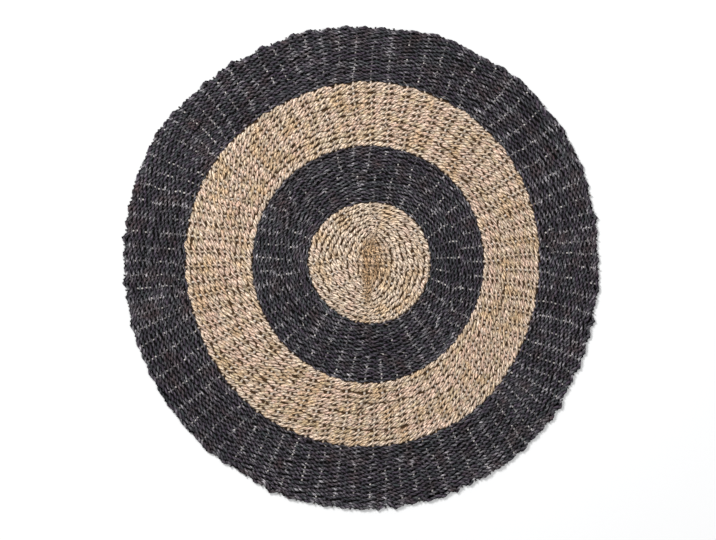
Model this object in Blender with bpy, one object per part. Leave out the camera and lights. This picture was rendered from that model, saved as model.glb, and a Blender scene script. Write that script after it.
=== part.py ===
# Round seagrass rug, woven in one piece: rows of cord are twined round warps that fan out from a
# short upright start line. The rug lies flat with its underside on z = 0 and the middle of its rim
# circle on the world origin. Metres, +Z up, +Y towards the upper edge of the rug.

import math
from collections import namedtuple

import bpy
import bmesh

# Driving dimensions
RIM_RADIUS = 0.600           # mean radius of the outline
START_HALF_LENGTH = 0.048    # half the upright line that the innermost row is twined along
START_GROOVE_HALF_WIDTH = 0.0020  # the innermost row meets itself in a groove along that line

NATURAL_CREST = 0.0135       # floor to the top of a natural row
NATURAL_GROOVE = 0.0095      # floor to the groove between two natural rows
BLACK_CREST = 0.0115         # the black cord is thinner
BLACK_GROOVE = 0.0085

RIM_BULGE_HEIGHT = 0.0055    # height at which the outermost row is widest
RIM_UNDERCUT = 0.0040        # how far the underside stays inside the outline
SCALLOP_DEPTH = 0.0045       # bulge to notch, measured along the radius
WARPS_AT_RIM = 90            # a notch at each warp, a bulge between two warps
UNDERSIDE_FACETS = 90

STAGGER_PER_RING = 0.25      # share of a facet by which each ring turns on from the one inside it
SHARP_EDGE_ANGLE = math.radians(40)  # the crests and grooves stay crisp, the rows run round smoothly

# Where one colour ends and the next begins. The circles aren't concentric, and each has shallow
# lobes: lobes per turn, then how far they reach along their cosine and their sine.
Edge = namedtuple("Edge", "radius centre lobes")
EDGES = (
    Edge(radius=0.000, centre=(0.0189, 0.0060), lobes={}),
    Edge(radius=0.151, centre=(0.0189, 0.0097), lobes={2: (0.0009, -0.0008), 3: (-0.0017, 0.0006)}),
    Edge(radius=0.292, centre=(0.0147, 0.0070), lobes={2: (-0.0031, 0.0003), 3: (-0.0008, 0.0014)}),
    Edge(radius=0.448, centre=(0.0030, 0.0055), lobes={2: (-0.0064, 0.0), 3: (-0.0025, 0.0017),
                                                       4: (-0.0018, -0.0010), 5: (0.0006, 0.0018)}),
    Edge(radius=RIM_RADIUS, centre=(0.0, 0.0), lobes={2: (-0.0044, -0.0017), 3: (-0.0025, 0.0041),
                                                      4: (-0.0031, -0.0009), 5: (-0.0005, 0.0010),
                                                      6: (-0.0009, 0.0004), 7: (0.0009, 0.0002),
                                                      9: (-0.0002, -0.0009), 10: (0.0008, 0.0001),
                                                      14: (0.0001, -0.0007), 20: (0.0005, -0.0005)}),
)

# The bands between those edges, from the centre outwards
Band = namedtuple("Band", "rows facets crest groove colour")
BANDS = (
    Band(rows=11, facets=24, crest=NATURAL_CREST, groove=NATURAL_GROOVE, colour="natural"),
    Band(rows=15, facets=36, crest=BLACK_CREST, groove=BLACK_GROOVE, colour="black"),
    Band(rows=12, facets=48, crest=NATURAL_CREST, groove=NATURAL_GROOVE, colour="natural"),
    Band(rows=15, facets=60, crest=BLACK_CREST, groove=BLACK_GROOVE, colour="black"),
)

# Dry seagrass, undyed and dyed
Finish = namedtuple("Finish", "name base_color roughness metallic")
FINISHES = {
    "natural": Finish("natural_seagrass", (0.55, 0.42, 0.27, 1.0), 0.75, 0.0),
    "black": Finish("black_seagrass", (0.030, 0.028, 0.036, 1.0), 0.60, 0.0),
}

Ring = namedtuple("Ring", "points phase")


def clear_scene():
    for old_object in list(bpy.data.objects):
        bpy.data.objects.remove(old_object, do_unlink=True)


def make_material(finish):
    material = bpy.data.materials.new(finish.name)
    material.use_nodes = True
    shader = material.node_tree.nodes["Principled BSDF"]
    shader.inputs["Base Color"].default_value = finish.base_color
    shader.inputs["Roughness"].default_value = finish.roughness
    shader.inputs["Metallic"].default_value = finish.metallic
    return material


def edges_around(radius):
    """The colour edges inside and outside a radius, and how far it is from the one to the other."""
    for inner, outer in zip(EDGES, EDGES[1:]):
        if radius <= outer.radius:
            break
    return inner, outer, (radius - inner.radius) / (outer.radius - inner.radius)


def lobe_height(edge, turn):
    return sum(along_cos * math.cos(count * turn) + along_sin * math.sin(count * turn)
               for count, (along_cos, along_sin) in edge.lobes.items())


def plan_point(radius, turn):
    """Where the weave's circle of this radius passes at an angle, seen from above."""
    inner, outer, share = edges_around(radius)
    centre_x, centre_y = (a + (b - a) * share for a, b in zip(inner.centre, outer.centre))
    inner_lobe = lobe_height(inner, turn)
    reach = radius + inner_lobe + (lobe_height(outer, turn) - inner_lobe) * share
    lengthening = START_HALF_LENGTH * max(0.0, 1.0 - radius / EDGES[1].radius)
    return centre_x + reach * math.cos(turn), centre_y + (reach + lengthening) * math.sin(turn)


def add_ring(bm, radius, height, facets, phase=0.0, scallop=0.0):
    """A closed ring of points. With a scallop, every second point is drawn in and the rest out."""
    points = []
    for step in range(facets):
        turn = 2.0 * math.pi * (step + phase) / facets
        side = -0.5 if step % 2 == 0 else 0.5
        x, y = plan_point(radius, turn)
        x += side * scallop * math.cos(turn)
        y += side * scallop * math.sin(turn)
        points.append(bm.verts.new((x, y, height)))
    return Ring(points, phase)


def join_rings(bm, inner, outer, material_index):
    """Fill the strip between two rings with triangles, whatever the number of points of each."""
    inner_count = len(inner.points)
    outer_count = len(outer.points)
    inner_step = 0
    outer_step = 0
    while inner_step < inner_count or outer_step < outer_count:
        corners = [inner.points[inner_step % inner_count], outer.points[outer_step % outer_count]]
        next_inner = (inner_step + 1 + inner.phase) / inner_count
        next_outer = (outer_step + 1 + outer.phase) / outer_count
        inner_is_next = inner_step < inner_count and next_inner <= next_outer
        if outer_step == outer_count or inner_is_next:
            inner_step += 1
            corners.append(inner.points[inner_step % inner_count])
        else:
            outer_step += 1
            corners.append(outer.points[outer_step % outer_count])
        bm.faces.new(corners).material_index = material_index


def add_ribbed_top(bm, slot_of):
    """Raise each row of the weave as a rib, from the groove along the start line to the last crest."""
    first = BANDS[0]
    ring = add_ring(bm, START_GROOVE_HALF_WIDTH, first.groove, first.facets)
    bm.faces.new(ring.points).material_index = slot_of[first.colour]
    turned_on = 0.0
    for band, inner_edge, outer_edge in zip(BANDS, EDGES, EDGES[1:]):
        half_row = (outer_edge.radius - inner_edge.radius) / (2 * band.rows)
        for half_step in range(1, 2 * band.rows + 1):
            if band is BANDS[-1] and half_step == 2 * band.rows:
                break  # the rim takes the place of the last groove
            radius = inner_edge.radius + half_row * half_step
            height = band.crest if half_step % 2 == 1 else band.groove
            turned_on = (turned_on + STAGGER_PER_RING) % 1.0
            next_ring = add_ring(bm, radius, height, band.facets, turned_on)
            join_rings(bm, ring, next_ring, slot_of[band.colour])
            ring = next_ring
    return ring


def close_rim_and_underside(bm, last_crest, material_index):
    """Roll the outermost row over a scalloped rim, down to a flat underside."""
    rim = add_ring(bm, RIM_RADIUS, RIM_BULGE_HEIGHT, 2 * WARPS_AT_RIM, scallop=SCALLOP_DEPTH)
    join_rings(bm, last_crest, rim, material_index)
    floor = add_ring(bm, RIM_RADIUS - RIM_UNDERCUT, 0.0, UNDERSIDE_FACETS)
    join_rings(bm, rim, floor, material_index)
    bm.faces.new(reversed(floor.points)).material_index = material_index


def make_rug():
    """The whole rug: one woven piece, so one closed body, its colours as two materials."""
    mesh = bpy.data.meshes.new("rug")
    slot_of = {}
    for slot, (colour, finish) in enumerate(FINISHES.items()):
        mesh.materials.append(make_material(finish))
        slot_of[colour] = slot
    bm = bmesh.new()
    last_crest = add_ribbed_top(bm, slot_of)
    close_rim_and_underside(bm, last_crest, slot_of[BANDS[-1].colour])
    bmesh.ops.triangulate(bm, faces=[face for face in bm.faces if len(face.verts) > 3])
    bm.to_mesh(mesh)
    bm.free()
    mesh.shade_smooth()
    mesh.set_sharp_from_angle(angle=SHARP_EDGE_ANGLE)
    rug = bpy.data.objects.new("rug", mesh)
    bpy.context.scene.collection.objects.link(rug)
    return rug


clear_scene()
make_rug()
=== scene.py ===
# A round seagrass rug, cord by cord. Two weft cords at a time are twined round warps that fan out
# from a short upright start line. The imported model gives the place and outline, this gives the weave.

import math
import bpy
import numpy as np
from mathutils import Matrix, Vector


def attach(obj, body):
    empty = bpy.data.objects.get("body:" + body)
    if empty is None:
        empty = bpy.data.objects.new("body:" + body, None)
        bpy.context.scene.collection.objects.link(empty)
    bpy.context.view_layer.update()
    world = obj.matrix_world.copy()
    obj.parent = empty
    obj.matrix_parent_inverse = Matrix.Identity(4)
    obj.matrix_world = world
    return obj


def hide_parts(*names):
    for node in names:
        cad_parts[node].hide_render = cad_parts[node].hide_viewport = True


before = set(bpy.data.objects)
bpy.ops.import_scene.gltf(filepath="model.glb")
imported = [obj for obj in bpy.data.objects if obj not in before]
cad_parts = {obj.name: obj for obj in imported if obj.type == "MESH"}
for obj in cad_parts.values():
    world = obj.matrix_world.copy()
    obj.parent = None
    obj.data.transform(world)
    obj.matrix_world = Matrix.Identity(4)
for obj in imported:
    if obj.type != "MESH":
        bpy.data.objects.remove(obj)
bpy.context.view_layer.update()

random = np.random.default_rng(53)  # one seed, so that every run weaves the same rug
fullTurn = 2.0 * math.pi

# Plan of the weave, in metres
rugPlan = {
    "startHalfLength": 0.048,  # half the upright line that the first row is twined along
    "startPoint": 0.55,        # how pointed the first rows are at the ends of that line
    "startLean": 0.124,        # radians by which that line leans to the right
}
# Where one colour ends and the next begins: off-centre circles with shallow lobes. For each number
# of lobes per turn, how far they reach along their cosine and along their sine
colourEdges = [
    {"radius": 0.000, "centre": (0.0189, 0.0060), "lobes": {}},
    {"radius": 0.151, "centre": (0.0189, 0.0097), "lobes": {2: (0.0009, -0.0008), 3: (-0.0017, 0.0006)}},
    {"radius": 0.292, "centre": (0.0147, 0.0070), "lobes": {2: (-0.0031, 0.0003), 3: (-0.0008, 0.0014)}},
    {"radius": 0.448, "centre": (0.0030, 0.0055), "lobes": {2: (-0.0064, 0.0), 3: (-0.0025, 0.0017),
                                                            4: (-0.0018, -0.0010), 5: (0.0006, 0.0018)}},
    {"radius": 0.600, "centre": (0.0, 0.0), "lobes": {2: (-0.0044, -0.0017), 3: (-0.0025, 0.0041),
                                                      4: (-0.0031, -0.0009), 5: (-0.0005, 0.0010),
                                                      6: (-0.0009, 0.0004), 7: (0.0009, 0.0002),
                                                      9: (-0.0002, -0.0009), 10: (0.0008, 0.0001),
                                                      14: (0.0001, -0.0007), 20: (0.0005, -0.0005)}},
]
edgeRadii = [edge["radius"] for edge in colourEdges]
lobeCounts = sorted({count for edge in colourEdges for count in edge["lobes"]})


def alongEdges(radius, values):
    # a value that changes evenly from one colour edge to the next
    return np.interp(radius, edgeRadii, values)


def planPoint(radius, turn):
    # where the weave's circle of this radius passes at an angle, seen from above
    reach = radius
    for count in lobeCounts:
        pairs = [edge["lobes"].get(count, (0.0, 0.0)) for edge in colourEdges]
        reach = reach + alongEdges(radius, [pair[0] for pair in pairs]) * np.cos(count * turn)
        reach = reach + alongEdges(radius, [pair[1] for pair in pairs]) * np.sin(count * turn)
    inside = np.clip(1.0 - radius / edgeRadii[1], 0.0, 1.0)
    across = reach * np.cos(turn) * np.abs(np.cos(turn)) ** (rugPlan["startPoint"] * inside)
    along = (reach + rugPlan["startHalfLength"] * inside) * np.sin(turn)
    lean = rugPlan["startLean"] * inside
    centreX = alongEdges(radius, [edge["centre"][0] for edge in colourEdges])
    centreY = alongEdges(radius, [edge["centre"][1] for edge in colourEdges])
    x = centreX + across * np.cos(lean) + along * np.sin(lean)
    y = centreY + along * np.cos(lean) - across * np.sin(lean)
    return x, y


# The weft cords. Widths, sway, dip and the stray of place are shares of the row's pitch, lengths and
# heights are metres. A stray is how unlike its neighbours a stitch is.
naturalCord = {
    "frontSteps": 16, "backSteps": 5,        # points along a stitch that shows, and along one underneath
    "frontWidth": 0.68, "crossWidth": 0.78,  # its width at a warp, and between two warps
    "thickness": 0.0070, "crest": 0.0135,    # of the cord, and of the row from bottom to top
    "sway": 0.25, "sharpTurn": 0.2,          # how far it swings to the sides, and how sharply at a warp
    "flatness": 5.0,                         # how level it lies between two warps
    "dip": 0.0, "ragged": 0.0,               # how far it is drawn in at a warp, and the edge's unevenness
    "twist": 1.0, "plyLength": 0.0140,       # its sign is the way the plies are laid
    "shallow": 0.45,                         # how much less painted hole shade it gets between two warps
    "widthStray": 0.16, "swayStray": 0.30, "heightStray": 0.0012, "placeStray": 0.06,
    "slip": 0.09,                            # how far a stitch strays along its row, in stitches
    "pale": 0.0,                             # how pale its grass is at least
}
discCord = dict(naturalCord, frontWidth=0.70, sway=0.20, pale=0.80)
firstCord = dict(naturalCord, pale=0.75)
lastCord = dict(firstCord, sway=0.28, dip=0.07, swayStray=0.45, ragged=0.0016)
blackCord = {
    "frontSteps": 14, "backSteps": 4,
    "frontWidth": 0.74, "crossWidth": 0.80, "thickness": 0.0061, "crest": 0.0115,
    "sway": 0.25, "sharpTurn": 0.4, "flatness": 4.0, "dip": 0.0, "ragged": 0.0,
    "twist": -1.0, "plyLength": 0.0128, "shallow": 0.40,
    "widthStray": 0.18, "swayStray": 0.30, "heightStray": 0.0010, "placeStray": 0.07, "slip": 0.10,
    "pale": 0.0,
}
rimCord = dict(blackCord, frontWidth=0.94, crossWidth=1.02, sway=0.32, dip=0.22, ragged=0.0024)

# The bands from the middle outwards. A band's first or last row may have a cord of its own.
bands = [
    {"name": "naturalDisc", "rows": 11, "pieces": 1, "finish": "natural", "cord": discCord},
    {"name": "blackRing", "rows": 15, "pieces": 1, "finish": "black", "cord": blackCord},
    {"name": "naturalRing", "rows": 12, "pieces": 2, "finish": "natural", "cord": naturalCord,
     "firstCord": firstCord, "lastCord": lastCord},
    {"name": "blackRim", "rows": 15, "pieces": 3, "finish": "black", "cord": blackCord,
     "lastCord": rimCord},
]


def listRows():
    rows = []
    for band, inner, outer in zip(bands, edgeRadii, edgeRadii[1:]):
        pitch = (outer - inner) / band["rows"]
        for step in range(band["rows"]):
            rows.append({"band": band, "cord": band["cord"], "pitch": pitch,
                         "radius": inner + (step + 0.5) * pitch})
        rows[-band["rows"]]["cord"] = band.get("firstCord", band["cord"])
        rows[-1]["cord"] = band.get("lastCord", band["cord"])
    return rows


# How the warps fan out, row by row
warpFan = {
    "warpsFrom": {0.0: 14, 0.055: 16, 0.095: 20, 0.118: 26, 0.140: 28,  # radius: warps from there on
                  0.160: 32, 0.228: 38, 0.240: 46, 0.262: 48,
                  0.305: 50, 0.348: 70, 0.372: 72,
                  0.462: 78, 0.480: 86, 0.495: 90},
    "drift": 0.20,    # how far a warp strays from row to row, as a share of their spacing
    "evening": 0.3,   # how far it then goes back towards even spaces, each time
    "times": 2, "timesAfterNew": 8,
    "riseKept": 0.75, "riseNew": 0.66,  # how much of a warp's rise stays the same, and how much is new
}


def fanWarps(rows):
    # new warps go in between the old ones as the rows grow longer, and work their way to even spaces
    warpsFrom = warpFan["warpsFrom"]
    turns = fullTurn * np.arange(warpsFrom[0.0]) / warpsFrom[0.0]
    names = list(range(len(turns)))
    rise = {name: 0.0 for name in names}
    for row in rows:
        wanted = max(count for radius, count in warpsFrom.items() if radius <= row["radius"])
        added = wanted - len(turns)
        if added > 0:
            begin = random.random()
            spots = {int((step + begin) * len(turns) / added) for step in range(added)}
            for spot in sorted(spots, reverse=True):
                after = turns[spot + 1] if spot + 1 < len(turns) else turns[0] + fullTurn
                turns = np.insert(turns, spot + 1, 0.5 * (turns[spot] + after))
                names.insert(spot + 1, len(rise))
                rise[len(rise)] = 0.0
        space = fullTurn / len(turns)
        turns = turns + warpFan["drift"] * space * (random.random(len(turns)) - 0.5)
        times = warpFan["timesAfterNew"] if added > 0 else warpFan["times"]
        for time in range(times):
            before = np.concatenate([[turns[-1] - fullTurn], turns[:-1]])
            after = np.concatenate([turns[1:], [turns[0] + fullTurn]])
            turns = turns + warpFan["evening"] * (0.5 * (before + after) - turns)
        for name in names:
            rise[name] = warpFan["riseKept"] * rise[name] + warpFan["riseNew"] * random.normal()
        row["turns"] = turns.copy()
        row["warpNames"] = list(names)
        row["rise"] = np.array([rise[name] for name in names])  # how proud a warp stands, for its stitches


def smoothWander(count, waves):
    # a periodic wavering between about -1 and 1, round a closed row
    place = fullTurn * np.arange(count) / count
    result = np.zeros(count)
    for wave in waves:
        result += math.sqrt(2.0 / len(waves)) * np.cos(wave * place + fullTurn * random.random())
    return result


def atStitches(place, values):
    # values given for each stitch of a closed row, running smoothly from one to the next
    return np.interp(place % len(values), np.arange(len(values) + 1), np.append(values, values[0]))


def strayPerStitch(place, warpCount):
    # a value between -1 and 1 for each stitch
    return atStitches(place, 2.0 * random.random(warpCount) - 1.0)


def splicedTints(count, shortest, longest):
    # one value for each stitch, the same along each spliced length of grass
    values = np.zeros(count)
    start = 0
    while start < count:
        length = int(random.integers(shortest, longest + 1))
        values[start:start + length] = random.random()
        start += length
    return values


# The rug is browner along its start line and in a streak below it. Both are given by the height
# above the disc's middle, in metres.
startStain = {
    "toTheRight": 0.003, "lean": 0.10, "sharpness": 3,
    "halfWidth": {-0.110: 0.009, -0.050: 0.015, -0.025: 0.038, 0.040: 0.034, 0.070: 0.014},
    "strength": {-0.160: 0.2, -0.105: 0.3, -0.085: 0.8, -0.030: 1.0, 0.050: 1.0, 0.085: 0.0},
}


def stainAt(up, what):
    return np.interp(up, list(startStain[what]), list(startStain[what].values()))


def brownStart(x, y):
    centreX, centreY = colourEdges[1]["centre"]
    up = y - centreY
    across = x - centreX - startStain["toTheRight"] - startStain["lean"] * up
    streak = np.exp(-np.abs(across / stainAt(up, "halfWidth")) ** startStain["sharpness"])
    return streak * stainAt(up, "strength")


# Section through a cord of two plies, from the crest of the first: degrees, reach, groove (0 where the
# painted groove shade is darkest), first ply
plySection = [
    (0.0, 1.00, 1.0, 1.0), (52.0, 0.90, 0.7, 1.0), (90.0, 0.54, 0.0, 0.5), (128.0, 0.90, 0.7, 0.0),
    (180.0, 1.00, 1.0, 0.0), (232.0, 0.90, 0.7, 0.0), (270.0, 0.54, 0.0, 0.5), (308.0, 0.90, 0.7, 1.0),
]

# How the grass of a cord changes along it
grassAlong = {
    "twistStray": 0.9, "twistWaves": [2, 5, 9, 13, 21],  # radians, and waves round a row
    "spliceStitches": (2, 8),                            # fewest and most between two splices
    "tintStrays": (0.35, 0.45),                          # share of each tint that is each stitch's own
    "unshadedBelowCrest": 0.001,                              # metres below the crest where the depth for the painted shade reaches 1
    "paintedHighlight": 0.5, "highlightOfRise": 0.18, "highlightStray": 0.3,   # a painted highlight, strongest where a warp stands proud
    "leastHighlight": 0.30, "highlightSharpness": 4,               # between two warps, and how soon it gets there
    "leastBrown": 0.5,                                   # share of the start line's brown that all have
    "fibresPerMetre": 100.0, "fibreShift": 50.0,         # of the noise that runs along the fibres
}


def stepsAlong(cord, warpCount, strand):
    # the points along a cord: place in stitches, warp, and how far along its stitch it and the next are
    places, periods, shares, nextShares = [], [], [], []
    for warp in range(warpCount):
        steps = cord["frontSteps"] if (warp + strand) % 2 == 0 else cord["backSteps"]
        share = np.arange(steps) / steps
        places.append(warp - 0.5 + share)
        periods.append(np.full(steps, warp))
        shares.append(share)
        nextShares.append(share + 1.0 / steps)
    return [np.concatenate(parts) for parts in (places, periods, shares, nextShares)]


def plyTints(warpCount, period, plyShares):
    tints = []
    for stray in grassAlong["tintStrays"]:
        plies = [(1.0 - stray) * splicedTints(warpCount, *grassAlong["spliceStitches"])
                 + stray * random.random(warpCount) for ply in range(2)]
        tints.append(plies[0][period][:, None] * plyShares + plies[1][period][:, None] * (1.0 - plyShares))
    return tints


def twineCord(row, strand):
    # one of a row's two cords, as a closed tube whose corners follow its two plies
    cord = row["cord"]
    pitch = row["pitch"]
    warpCount = len(row["turns"])
    place, period, share, nextShare = stepsAlong(cord, warpCount, strand)
    beforeFirst = row["turns"][-1] - fullTurn
    afterLast = row["turns"][0] + fullTurn
    turn = np.interp(place, np.arange(-1, warpCount + 1),
                     np.concatenate([[beforeFirst], row["turns"], [afterLast]]))

    # the way it takes: over and under the warps, and from side to side between them
    phase = math.pi * (place + strand + cord["slip"] * atStitches(place, row["slip"]))
    front = np.cos(phase)  # 1 over a warp, -1 under one, 0 between two warps
    over = front * np.abs(front) ** (cord["flatness"] - 1.0)
    side = np.sin(phase)
    side = side * (1.0 + cord["sharpTurn"] - cord["sharpTurn"] * side ** 2)
    width = cord["crossWidth"] + (cord["frontWidth"] - cord["crossWidth"]) * front ** 2
    halfWidth = 0.5 * pitch * width * (1.0 + cord["widthStray"] * strayPerStitch(place, warpCount))
    thickStray = 0.5 * cord["widthStray"] * strayPerStitch(place, warpCount)
    halfThick = 0.5 * cord["thickness"] * (1.0 + thickStray)
    sway = cord["sway"] * pitch * (1.0 + cord["swayStray"] * strayPerStitch(place, warpCount))
    offset = cord["placeStray"] * pitch * (strayPerStitch(place, warpCount) + row["waver"][period])
    offset = offset - sway * side - cord["dip"] * pitch * front ** 2
    offset = offset + cord["ragged"] * atStitches(2.0 * place, row["ragged"])
    middle = 0.5 * cord["crest"]
    lift = middle - 0.5 * cord["thickness"]
    proud = cord["heightStray"] * (0.5 * atStitches(place, row["rise"]) + strayPerStitch(place, warpCount))
    height = middle + lift * over + proud * np.maximum(front, 0.0)

    # its two plies, which turn round each other along the way
    angles, reaches, grooves, plyShares = [np.array(column) for column in zip(*plySection)]
    centreX, centreY = planPoint(row["radius"], turn)
    gaps = np.hypot(np.roll(centreX, -1) - centreX, np.roll(centreY, -1) - centreY)
    length = np.cumsum(gaps) - gaps
    beads = round(gaps.sum() / cord["plyLength"])  # the crests of its plies, counted round the row
    twist = math.pi * beads * length / gaps.sum()
    twist = twist + grassAlong["twistStray"] * smoothWander(len(place), grassAlong["twistWaves"])
    around = np.radians(angles) + cord["twist"] * twist[:, None] + fullTurn * random.random()
    radius = row["radius"] + offset[:, None] + halfWidth[:, None] * reaches * np.cos(around)
    x, y = planPoint(radius, turn[:, None])
    z = height[:, None] + halfThick[:, None] * reaches * np.sin(around)
    z = np.maximum(z, 0.0)  # pressed flat where it rests

    # its grass: tints by ply and splice, painted shade by depth in the weave, a painted highlight on top,
    # and the run of the fibres
    tints = plyTints(warpCount, period, plyShares)
    shadeSpan = middle - grassAlong["unshadedBelowCrest"]
    shadeDepth = np.abs(z - middle) / shadeSpan + cord["shallow"] * (1.0 - np.abs(front))[:, None]
    # painted highlight, mostly on the crest of a stitch over a warp
    highlightShare = (grassAlong["paintedHighlight"] + grassAlong["highlightOfRise"] * atStitches(place, row["rise"])
            + grassAlong["highlightStray"] * strayPerStitch(place, warpCount))
    leastHighlight, leastBrown = grassAlong["leastHighlight"], grassAlong["leastBrown"]
    onTop = np.maximum(front, 0.0) ** grassAlong["highlightSharpness"]
    highlightShare = np.clip(highlightShare, 0.0, 1.0) * (leastHighlight + (1.0 - leastHighlight) * onTop)
    brown = (leastBrown + (1.0 - leastBrown) * random.random(warpCount))[period]
    brown = brownStart(x, y) * brown[:, None]
    flat = np.ones_like(x)
    section = np.radians(angles) * flat
    fibres = grassAlong["fibresPerMetre"] * length[:, None] * flat
    fibres = fibres + grassAlong["fibreShift"] * random.random()
    return {
        "points": np.stack([x, y, z], axis=-1),
        "tint": np.stack([tints[0], np.maximum(tints[1], cord["pale"]), brown, flat], axis=-1),
        # painted light: depth for the hole shade, groove weight for the groove shade, and the highlight
        # share
        "paintedLight": np.stack([np.clip(shadeDepth, 0.0, 1.0), flat * grooves, flat * highlightShare[:, None], flat], axis=-1),
        "run": np.stack([np.cos(section), np.sin(section), fibres], axis=-1),
        "tile": period, "tiles": warpCount, "share": share, "nextShare": nextShare,
        "closed": True,
    }


# Where a piece lies in UV: each stitch has a tile of its own, and caps lie in the corner
uvTile = {"margin": 0.06, "capSpot": 0.001, "lengthToWidth": 2.0}


def tileCorners(grid, step, side, firstTile, columns, lines):
    sides = grid["points"].shape[1]
    inner = 1.0 - 2.0 * uvTile["margin"]
    tile = firstTile + grid["tile"][step]
    column = tile % columns
    line = tile // columns
    left = uvTile["margin"] + inner * grid["share"][step]
    right = uvTile["margin"] + inner * grid["nextShare"][step]
    low = uvTile["margin"] + inner * side / sides
    high = uvTile["margin"] + inner * (side + 1) / sides
    flat = np.ones((len(step), sides))
    corners = [np.stack([(column + along) / columns * flat, (line + across) / lines * flat], axis=-1)
               for along, across in ((left, low), (right, low), (right, high), (left, high))]
    return np.stack(corners, axis=2).reshape(-1, 2)


def capFaces(grid, firstPoint):
    # the faces that close both ends of an open tube
    steps, sides = grid["points"].shape[:2]
    faces = []
    for ring, order in ((0, (3, 2, 1, 0)), (steps - 1, (0, 1, 2, 3))):
        for start in range(0, sides - 2, 2):
            corners = [0, start + 1, start + 2, start + 3]
            faces.append([firstPoint + ring * sides + corners[spot] for spot in order])
    return np.array(faces)


def addAttributes(mesh, grids):
    # what the finishes read from a mesh
    for label, kind, field, key in (("cordTint", "FLOAT_COLOR", "color", "tint"),
                                    ("cordPaintedLight", "FLOAT_COLOR", "color", "paintedLight"),
                                    ("fibreRun", "FLOAT_VECTOR", "vector", "run")):
        values = np.concatenate([grid[key].ravel() for grid in grids])
        attribute = mesh.attributes.new(label, kind, "POINT")
        attribute.data.foreach_set(field, values.astype(np.float32))


def buildPiece(name, grids, material):
    # joins tubes into one mesh
    tileTotal = sum(grid["tiles"] for grid in grids)
    columns = max(1, int(math.sqrt(tileTotal / uvTile["lengthToWidth"])))
    lines = -(-tileTotal // columns)  # rounded up
    faces, uvs = [], []
    firstPoint, firstTile = 0, 0
    for grid in grids:
        steps, sides = grid["points"].shape[:2]
        step = np.arange(steps if grid["closed"] else steps - 1)[:, None]
        side = np.arange(sides)[None, :]
        nextStep = (step + 1) % steps
        nextSide = (side + 1) % sides
        quads = np.stack([step * sides + side, nextStep * sides + side,
                          nextStep * sides + nextSide, step * sides + nextSide], axis=-1)
        faces.append(quads.reshape(-1, 4) + firstPoint)
        uvs.append(tileCorners(grid, step, side, firstTile, columns, lines))
        if not grid["closed"]:
            caps = capFaces(grid, firstPoint)
            faces.append(caps)
            uvs.append(np.full((caps.size, 2), uvTile["capSpot"]))
        firstPoint += steps * sides
        firstTile += grid["tiles"]
    points = np.concatenate([grid["points"].reshape(-1, 3) for grid in grids])
    faces = np.concatenate(faces)
    mesh = bpy.data.meshes.new(name)
    mesh.vertices.add(len(points))
    mesh.vertices.foreach_set("co", points.astype(np.float32).ravel())
    mesh.loops.add(faces.size)
    mesh.loops.foreach_set("vertex_index", faces.astype(np.int32).ravel())
    mesh.polygons.add(len(faces))
    mesh.polygons.foreach_set("loop_start", np.arange(0, faces.size, 4, dtype=np.int32))
    mesh.polygons.foreach_set("loop_total", np.full(len(faces), 4, dtype=np.int32))
    mesh.polygons.foreach_set("use_smooth", np.ones(len(faces), dtype=bool))
    bakeMap = mesh.uv_layers.new(name="OFBake")
    bakeMap.data.foreach_set("uv", np.concatenate(uvs).astype(np.float32).ravel())
    addAttributes(mesh, grids)
    mesh.update()
    mesh.validate()
    mesh.materials.append(material)
    piece = bpy.data.objects.new(name, mesh)
    bpy.context.scene.collection.objects.link(piece)
    print(name, len(faces) * 2, "triangles")
    return piece


# Finishes, made of shader nodes. Four numbers in their dictionaries are a ramp: where it begins and
# ends in what it reads, and what it gives at its beginning and its end. Colours are linear.
def newMaterial(name):
    material = bpy.data.materials.new(name)
    material.use_nodes = True
    tree = material.node_tree
    return material, tree, tree.nodes["Principled BSDF"]


def setInput(tree, node, key, value):
    if isinstance(value, bpy.types.NodeSocket):
        tree.links.new(value, node.inputs[key])
    else:
        node.inputs[key].default_value = value


def addNode(tree, kind, settings=None, **inputs):
    # an input is named as its socket is, or by the letter i and the socket's number
    node = tree.nodes.new(kind)
    for key, value in (settings or {}).items():
        setattr(node, key, value)
    for key, value in inputs.items():
        setInput(tree, node, int(key[1:]) if key[1:].isdigit() else key, value)
    return node


def mixColours(tree, share, first, second, blend="MIX"):
    settings = {"data_type": "RGBA", "blend_type": blend}
    return addNode(tree, "ShaderNodeMix", settings, i0=share, i6=first, i7=second).outputs[2]


def rampOf(tree, value, ramp):
    low, high, atLow, atHigh = ramp
    return addNode(tree, "ShaderNodeMapRange", i0=value, i1=low, i2=high, i3=atLow, i4=atHigh).outputs[0]


def timesEach(tree, first, second):
    return addNode(tree, "ShaderNodeMath", {"operation": "MULTIPLY"}, i0=first, i1=second).outputs[0]


# The noises that all grass has: fine along its fibres, and slow from one length to the next
grassNoise = {"detail": 4.0, "roughness": 0.65, "patchScale": 0.5, "patchDetail": 2.0, "placeDetail": 2.0}


def readColour(tree, name):
    attribute = addNode(tree, "ShaderNodeAttribute", {"attribute_name": name})
    return addNode(tree, "ShaderNodeSeparateColor", i0=attribute.outputs["Color"]).outputs


def readFibres(tree, scale):
    run = addNode(tree, "ShaderNodeAttribute", {"attribute_name": "fibreRun"}).outputs["Vector"]
    fibres = addNode(tree, "ShaderNodeTexNoise", Vector=run, Scale=scale, Detail=grassNoise["detail"],
                     Roughness=grassNoise["roughness"])
    patches = addNode(tree, "ShaderNodeTexNoise", Vector=run, Scale=grassNoise["patchScale"],
                      Detail=grassNoise["patchDetail"])
    return fibres.outputs[0], patches.outputs[0]


def noiseByPlace(tree, scale):
    place = addNode(tree, "ShaderNodeTexCoord").outputs["Object"]
    return addNode(tree, "ShaderNodeTexNoise", Vector=place, Scale=scale,
                   Detail=grassNoise["placeDetail"]).outputs[0]


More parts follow.
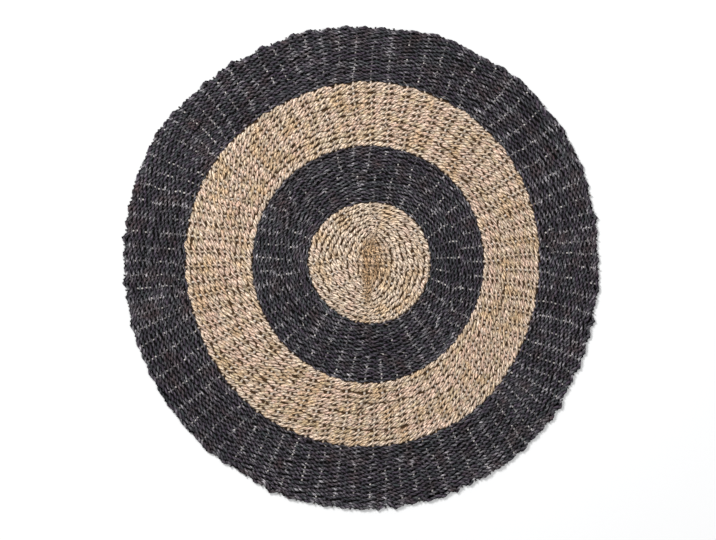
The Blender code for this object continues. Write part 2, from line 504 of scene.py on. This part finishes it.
def coverGrass(tree, shader, finish, colour, fibres):
    # the fibres' relief and sheen, under the colour
    bump = addNode(tree, "ShaderNodeBump", Height=fibres, Strength=finish["bumpStrength"],
                   Distance=finish["bumpHeight"])
    tree.links.new(colour, shader.inputs["Base Color"])
    tree.links.new(bump.outputs[0], shader.inputs["Normal"])
    tree.links.new(rampOf(tree, fibres, finish["roughness"]), shader.inputs["Roughness"])
    shader.inputs["Specular IOR Level"].default_value = finish["sheen"]


naturalFinish = {
    "pinkStraw": (0.840, 0.570, 0.440, 1.0),
    "greenStraw": (0.700, 0.550, 0.350, 1.0),
    "pinkShare": (0.25, 0.75, 0.0, 1.0),      # by the first tint
    "paleStraw": (0.980, 0.820, 0.660, 1.0),
    "paleShare": (0.20, 0.90, 0.0, 0.85),     # by the second tint
    "goldenTinge": (0.780, 0.515, 0.255, 1.0),
    "goldenShare": (0.50, 0.66, 0.0, 0.55),   # by place on the rug
    "pinkTinge": (0.960, 0.660, 0.530, 1.0),
    "tingeShare": (0.46, 0.34, 0.0, 0.50),
    "brownLight": (0.730, 0.455, 0.220, 1.0),
    "brownDark": (0.200, 0.092, 0.034, 1.0),
    "brownFibres": (0.42, 0.58, 0.0, 1.0),    # from dark to light, by fibre
    "brownShare": (0.05, 0.90, 0.0, 0.90),    # by the third tint, the start line's brown
    "fibreLight": (0.38, 0.62, 0.22, 1.37),
    "patchLight": (0.30, 0.70, 0.84, 1.08),
    # painted shade in the ply grooves
    "paintedGrooveShade": (0.320, 0.230, 0.140, 1.0),
    "grooveShadeShare": (0.0, 0.80, 0.95, 0.0),
    # painted shade, darkest deep in the weave and lighter between two warps
    "paintedHoleShade": (0.045, 0.021, 0.009, 1.0),
    "holeShadeShare": (0.12, 0.63, 0.95, 0.0),
    "roughness": (0.30, 0.70, 0.80, 0.55),    # by fibre
    "placeScale": 24.0, "fibreScale": 1.40, "bumpStrength": 0.7, "bumpHeight": 0.0007, "sheen": 0.4,
}


def makeNaturalGrass():
    finish = naturalFinish
    material, tree, shader = newMaterial("naturalGrass")
    tints, paintedLights = readColour(tree, "cordTint"), readColour(tree, "cordPaintedLight")
    fibres, patches = readFibres(tree, finish["fibreScale"])
    hue = noiseByPlace(tree, finish["placeScale"])
    colour = mixColours(tree, rampOf(tree, tints[0], finish["pinkShare"]), finish["greenStraw"],
                        finish["pinkStraw"])
    colour = mixColours(tree, rampOf(tree, tints[1], finish["paleShare"]), colour, finish["paleStraw"])
    colour = mixColours(tree, rampOf(tree, hue, finish["goldenShare"]), colour, finish["goldenTinge"])
    colour = mixColours(tree, rampOf(tree, hue, finish["tingeShare"]), colour, finish["pinkTinge"])
    brown = mixColours(tree, rampOf(tree, fibres, finish["brownFibres"]), finish["brownDark"],
                       finish["brownLight"])
    colour = mixColours(tree, rampOf(tree, tints[2], finish["brownShare"]), colour, brown)
    light = timesEach(tree, rampOf(tree, fibres, finish["fibreLight"]),
                      rampOf(tree, patches, finish["patchLight"]))
    colour = mixColours(tree, 1.0, colour, light, "MULTIPLY")
    # painted shade in the ply grooves
    colour = mixColours(tree, rampOf(tree, paintedLights[1], finish["grooveShadeShare"]), colour,
                        finish["paintedGrooveShade"], "MULTIPLY")
    # painted shade deep in the weave
    colour = mixColours(tree, rampOf(tree, paintedLights[0], finish["holeShadeShare"]), colour, finish["paintedHoleShade"])
    coverGrass(tree, shader, finish, colour, fibres)
    return material


blackFinish = {
    "charcoal": (0.022, 0.020, 0.024, 1.0),
    "charcoalShare": (0.10, 0.90, 0.80, 0.0),  # by the second tint
    "violet": (0.074, 0.053, 0.080, 1.0),
    "slate": (0.046, 0.056, 0.058, 1.0),
    "violetShare": (0.25, 0.75, 0.0, 1.0),     # by the first tint
    "rustTinge": (0.090, 0.053, 0.051, 1.0),
    "rustShare": (0.50, 0.68, 0.0, 0.80),      # by place on the rug
    # painted highlight on the crests of the stitches
    "paintedHighlightColour": (0.940, 0.890, 0.930, 1.0),
    "highlightFibres": (0.42, 0.64, 0.0, 1.0),
    "highlightOfStitch": (0.10, 0.90, 0.10, 1.0),     # by the stitch's painted highlight share
    "highlightPatches": (0.38, 0.62, 0.15, 1.0),
    # painted shade in the ply grooves
    "paintedGrooveShade": (0.011, 0.010, 0.013, 1.0),
    "grooveShadeShare": (0.10, 0.98, 0.95, 0.0),
    # painted shade, darkest deep in the weave and lighter between two warps
    "paintedHoleShade": (0.0012, 0.0012, 0.0015, 1.0),
    "holeShadeShare": (0.10, 0.64, 0.95, 0.0),
    "roughness": (0.30, 0.70, 0.60, 0.40),     # by fibre
    "placeScale": 22.0, "fibreScale": 1.7, "bumpStrength": 0.7, "bumpHeight": 0.0007, "sheen": 0.04,
}


def makeBlackGrass():
    finish = blackFinish
    material, tree, shader = newMaterial("blackGrass")
    tints, paintedLights = readColour(tree, "cordTint"), readColour(tree, "cordPaintedLight")
    fibres, patches = readFibres(tree, finish["fibreScale"])
    dye = noiseByPlace(tree, finish["placeScale"])
    colour = mixColours(tree, rampOf(tree, tints[0], finish["violetShare"]), finish["slate"],
                        finish["violet"])
    colour = mixColours(tree, rampOf(tree, dye, finish["rustShare"]), colour, finish["rustTinge"])
    colour = mixColours(tree, rampOf(tree, tints[1], finish["charcoalShare"]), colour, finish["charcoal"])
    # painted highlight on the crests of the stitches
    paintedHighlight = timesEach(tree, rampOf(tree, fibres, finish["highlightFibres"]),
                     rampOf(tree, paintedLights[2], finish["highlightOfStitch"]))
    paintedHighlight = timesEach(tree, paintedHighlight, rampOf(tree, patches, finish["highlightPatches"]))
    colour = mixColours(tree, paintedHighlight, colour, finish["paintedHighlightColour"])
    # painted shade in the ply grooves
    colour = mixColours(tree, rampOf(tree, paintedLights[1], finish["grooveShadeShare"]), colour,
                        finish["paintedGrooveShade"])
    # painted shade deep in the weave
    colour = mixColours(tree, rampOf(tree, paintedLights[0], finish["holeShadeShare"]), colour, finish["paintedHoleShade"])
    coverGrass(tree, shader, finish, colour, fibres)
    return material


# Warps are pale where they peep out between two rows. Under the rows they are painted dark as shade, near
# black in the black bands and brown in the natural ones.
warpFinish = {
    "dyed": (0.030, 0.026, 0.032, 1.0),
    "undyed": (0.400, 0.280, 0.170, 1.0),
    "bare": (0.800, 0.750, 0.700, 1.0),
    "bareShare": (0.35, 0.80, 0.0, 1.0),  # by how near it is to a gap between two rows
    "fibreLight": (0.32, 0.68, 0.70, 1.10),
    "fibreScale": 2.5, "roughness": 0.7, "sheen": 0.05,
}


def makeWarpGrass():
    finish = warpFinish
    material, tree, shader = newMaterial("warpGrass")
    tints = readColour(tree, "cordTint")
    fibres = readFibres(tree, finish["fibreScale"])[0]
    # painted shade: dark under the rows, pale only where the warp peeps out
    colour = mixColours(tree, tints[2], finish["dyed"], finish["undyed"])
    bare = timesEach(tree, tints[0], rampOf(tree, tints[1], finish["bareShare"]))
    colour = mixColours(tree, bare, colour, finish["bare"])
    colour = mixColours(tree, 1.0, colour, rampOf(tree, fibres, finish["fibreLight"]), "MULTIPLY")
    tree.links.new(colour, shader.inputs["Base Color"])
    shader.inputs["Roughness"].default_value = finish["roughness"]
    shader.inputs["Specular IOR Level"].default_value = finish["sheen"]
    return material


# The middle sheet of the weave is seen only deep between the stitches, and is painted dark there as shade
holeShadeFinish = {
    "natural": (0.070, 0.038, 0.018, 1.0),
    "black": (0.003, 0.003, 0.003, 1.0),
    "grain": (0.006, 0.004, 0.003, 1.0),
    "grainShare": (0.40, 0.70, 0.0, 0.50),
    "grainScale": 900.0, "grainDetail": 3.0, "roughness": 0.9, "sheen": 0.05,
}


def makeHoleShadeSheet():
    finish = holeShadeFinish
    material, tree, shader = newMaterial("holeShadeSheet")
    tints = readColour(tree, "cordTint")
    grain = addNode(tree, "ShaderNodeTexNoise", Scale=finish["grainScale"], Detail=finish["grainDetail"])
    colour = mixColours(tree, tints[0], finish["black"], finish["natural"])
    colour = mixColours(tree, rampOf(tree, grain.outputs[0], finish["grainShare"]), colour, finish["grain"])
    tree.links.new(colour, shader.inputs["Base Color"])
    shader.inputs["Roughness"].default_value = finish["roughness"]
    shader.inputs["Specular IOR Level"].default_value = finish["sheen"]
    return material


# Weft, band by band
wavesOfRow = [2, 3, 5, 8, 13]  # waves round a row by which it wavers

rows = listRows()
fanWarps(rows)
for row in rows:
    row["waver"] = smoothWander(len(row["turns"]), wavesOfRow)
    row["ragged"] = random.normal(size=2 * len(row["turns"]))
    row["slip"] = 2.0 * random.random(len(row["turns"])) - 1.0
print("rows", len(rows), "warps at the rim", len(rows[-1]["turns"]))

materials = {"natural": makeNaturalGrass(), "black": makeBlackGrass()}
for band in bands:
    bandRows = [row for row in rows if row["band"] is band]
    for part in range(band["pieces"]):
        partRows = [row for index, row in enumerate(bandRows)
                    if index * band["pieces"] // len(bandRows) == part]
        grids = [twineCord(row, strand) for row in partRows for strand in range(2)]
        label = band["name"] + (str(part + 1) if band["pieces"] > 1 else "") + "Weft"
        piece = buildPiece(label, grids, materials[band["finish"]])
        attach(piece, "root")
        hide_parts("rug")

# Warps, from the row where each was put in to its cut end at the rim. In metres, and for a natural
# band, a black one and the cut end: how often a warp peeps out between two rows, how wide it is and
# how high it stands there, how pale it is there at least and at most, and how rarely it is so pale
warpCord = {
    "sides": 6, "halfThickness": 0.0020, "swell": 0.3,
    "hiddenDrop": 0.0012, "endPastRim": 0.0010, "leastRise": 0.6, "fibresPerMetre": 60.0,
    "natural": {"showing": 0.92, "halfWidth": 0.0027, "rise": 0.0026, "pale": (0.10, 0.70), "rarely": 1.0},
    "black": {"showing": 0.85, "halfWidth": 0.0021, "rise": 0.0023, "pale": (0.04, 1.0), "rarely": 2.3},
    "end": {"halfWidth": 0.0021, "pale": (0.10, 0.70), "rarely": 2.0},
}


def somePale(look):
    least, most = look["pale"]
    return least + (most - least) * random.random() ** look["rarely"]


def stretchOfWarp(name):
    # along one warp, in each gap between rows and under each row: its radius, turn and height, how
    # pale it is, 1 in the gap and 0 under the row, 1 in a natural band, and half its width
    path = []
    for before, row in zip([rows[0]] + rows, rows):
        if name in row["warpNames"]:
            turn = row["turns"][row["warpNames"].index(name)]
            middle = 0.5 * row["cord"]["crest"]
            hidden = middle - warpCord["hiddenDrop"]
            inNatural = "natural" in (before["band"]["finish"], row["band"]["finish"])
            undyed = float(inNatural)
            look = warpCord["natural" if inNatural else "black"]
            width = look["halfWidth"]
            pale, height = 0.0, hidden
            if random.random() < look["showing"]:
                pale = somePale(look)
                leastRise = warpCord["leastRise"]
                height = middle + look["rise"] * (leastRise + (1.0 - leastRise) * random.random())
            path.append((row["radius"] - 0.5 * row["pitch"], turn, height, pale, 1.0, undyed, width))
            path.append((row["radius"], turn, hidden, pale, 0.0, undyed, width))
    pale = somePale(warpCord["end"])
    end = edgeRadii[-1] + warpCord["endPastRim"] * (2.0 * random.random() - 1.0)
    path.append((end, turn, middle, pale, 1.0, 0.0, warpCord["end"]["halfWidth"]))
    return np.array(path).T


def tubeOfWarp(name):
    radii, turns, heights, pales, gaps, undyed, halfWidths = stretchOfWarp(name)
    around = fullTurn * np.arange(warpCord["sides"]) / warpCord["sides"]
    centreX, centreY = planPoint(radii, turns)
    pales = pales * (1.0 - brownStart(centreX, centreY))
    swell = 1.0 + warpCord["swell"] * (random.random(len(radii)) - 0.5)
    across = (halfWidths * swell)[:, None] * np.cos(around)
    x = centreX[:, None] + across * np.sin(turns)[:, None]
    y = centreY[:, None] - across * np.cos(turns)[:, None]
    z = heights[:, None] + warpCord["halfThickness"] * swell[:, None] * np.sin(around)
    flat = np.ones_like(x)
    fibres = warpCord["fibresPerMetre"] * radii[:, None] * flat
    return {
        "points": np.stack([x, y, z], axis=-1),
        "tint": np.stack([flat * pales[:, None], flat * gaps[:, None], flat * undyed[:, None], flat],
                         axis=-1),
        "paintedLight": np.ones(x.shape + (4,)),
        "run": np.stack([flat * np.cos(around), flat * np.sin(around), fibres], axis=-1),
        "tile": np.arange(len(radii)), "tiles": len(radii),
        "share": np.zeros(len(radii)), "nextShare": np.ones(len(radii)),
        "closed": False,
    }


warps = buildPiece("warps", [tubeOfWarp(name) for name in rows[-1]["warpNames"]], makeWarpGrass())
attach(warps, "root")
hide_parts("rug")

# The middle of the weave: the sheet that the cords make, without their relief, in metres.
# It begins at a slit along the start line and ends inside the rim.
middleSheet = {"thickness": 0.0014, "pointsRound": 96, "slit": 0.0006, "rimUndercut": 0.009}


def sheetGrid():
    radii = [middleSheet["slit"]] + [row["radius"] for row in rows]
    radii = np.array(radii + [edgeRadii[-1] - middleSheet["rimUndercut"]])
    crests = [naturalCord["crest"]] + [row["cord"]["crest"] for row in rows] + [blackCord["crest"]]
    heights = 0.5 * np.array(crests)
    natural = np.array([1.0] + [float(row["band"]["finish"] == "natural") for row in rows] + [0.0])
    turn = fullTurn * np.arange(middleSheet["pointsRound"]) / middleSheet["pointsRound"]
    halfThick = 0.5 * middleSheet["thickness"]
    height = np.concatenate([heights - halfThick, heights[::-1] + halfThick])
    x, y = planPoint(np.concatenate([radii, radii[::-1]])[None, :], turn[:, None])
    flat = np.ones_like(x)
    points = np.stack([x, y, flat * height], axis=-1)
    return {
        "points": points,
        "tint": np.stack([flat * np.concatenate([natural, natural[::-1]]), flat, flat, flat], axis=-1),
        "paintedLight": np.ones(x.shape + (4,)),
        "run": points,
        "tile": np.arange(len(turn)), "tiles": len(turn),
        "share": np.zeros(len(turn)), "nextShare": np.ones(len(turn)),
        "closed": True,
    }


# a dark sheet, painted shade seen through the holes of the weave
middle = buildPiece("holeShadeSheet", [sheetGrid()], makeHoleShadeSheet())
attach(middle, "root")
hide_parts("rug")

# Floor, light and camera, in metres, watts and pixels of the picture
studio = {
    "floorHalf": 7.0, "floorLevel": -0.0004,  # half its width, and just below the cords
    "floorGrey": 0.92, "floorRoughness": 0.9,
    "pixelSize": 0.002493, "imageSize": (716, 540), "rimPixel": (362.3, 266.4),
    "lens": 90.0, "sensor": 36.0,
    "lamps": {
        "keyLight": {"place": (-2.2, 2.6, 3.4), "size": 1.3, "power": 190.0},
        "fillLight": {"place": (1.8, -1.2, 3.4), "size": 2.4, "power": 40.0},
    },
    "worldColour": (0.98, 0.99, 1.0, 1.0), "worldStrength": 0.45,
}


def addFloor():
    material, tree, shader = newMaterial("paleFloor")
    grey = studio["floorGrey"]
    shader.inputs["Base Color"].default_value = (grey, grey, grey, 1.0)
    shader.inputs["Roughness"].default_value = studio["floorRoughness"]
    half, level = studio["floorHalf"], studio["floorLevel"]
    mesh = bpy.data.meshes.new("floor")
    corners = [(-half, -half, level), (half, -half, level), (half, half, level), (-half, half, level)]
    mesh.from_pydata(corners, [], [(0, 1, 2, 3)])
    mesh.materials.append(material)
    floor = bpy.data.objects.new("floor", mesh)
    bpy.context.scene.collection.objects.link(floor)


def addLamps():
    # soft square lamps that face the middle of the rug
    for name, lamp in studio["lamps"].items():
        light = bpy.data.lights.new(name, "AREA")
        light.shape = "SQUARE"
        light.size = lamp["size"]
        light.energy = lamp["power"]
        fixture = bpy.data.objects.new(name, light)
        fixture.location = lamp["place"]
        fixture.rotation_euler = (-Vector(lamp["place"])).to_track_quat("-Z", "Y").to_euler()
        bpy.context.scene.collection.objects.link(fixture)


def addWorld():
    world = bpy.data.worlds.new("softStudio")
    world.use_nodes = True
    background = world.node_tree.nodes["Background"]
    background.inputs[0].default_value = studio["worldColour"]
    background.inputs[1].default_value = studio["worldStrength"]
    bpy.context.scene.world = world


def addCamera():
    # straight above, where the rim's middle falls on its pixel of the picture
    width, height = studio["imageSize"]
    distance = studio["pixelSize"] * width * studio["lens"] / studio["sensor"]
    camera = bpy.data.cameras.new("overhead")
    camera.lens = studio["lens"]
    camera.sensor_width = studio["sensor"]
    view = bpy.data.objects.new("overhead", camera)
    view.location = ((0.5 * width - studio["rimPixel"][0]) * studio["pixelSize"],
                     (studio["rimPixel"][1] - 0.5 * height) * studio["pixelSize"], distance)
    bpy.context.scene.collection.objects.link(view)
    bpy.context.scene.camera = view


addFloor()
addLamps()
addWorld()
addCamera()
bpy.context.scene.view_settings.view_transform = "Standard"
print("studio ready")
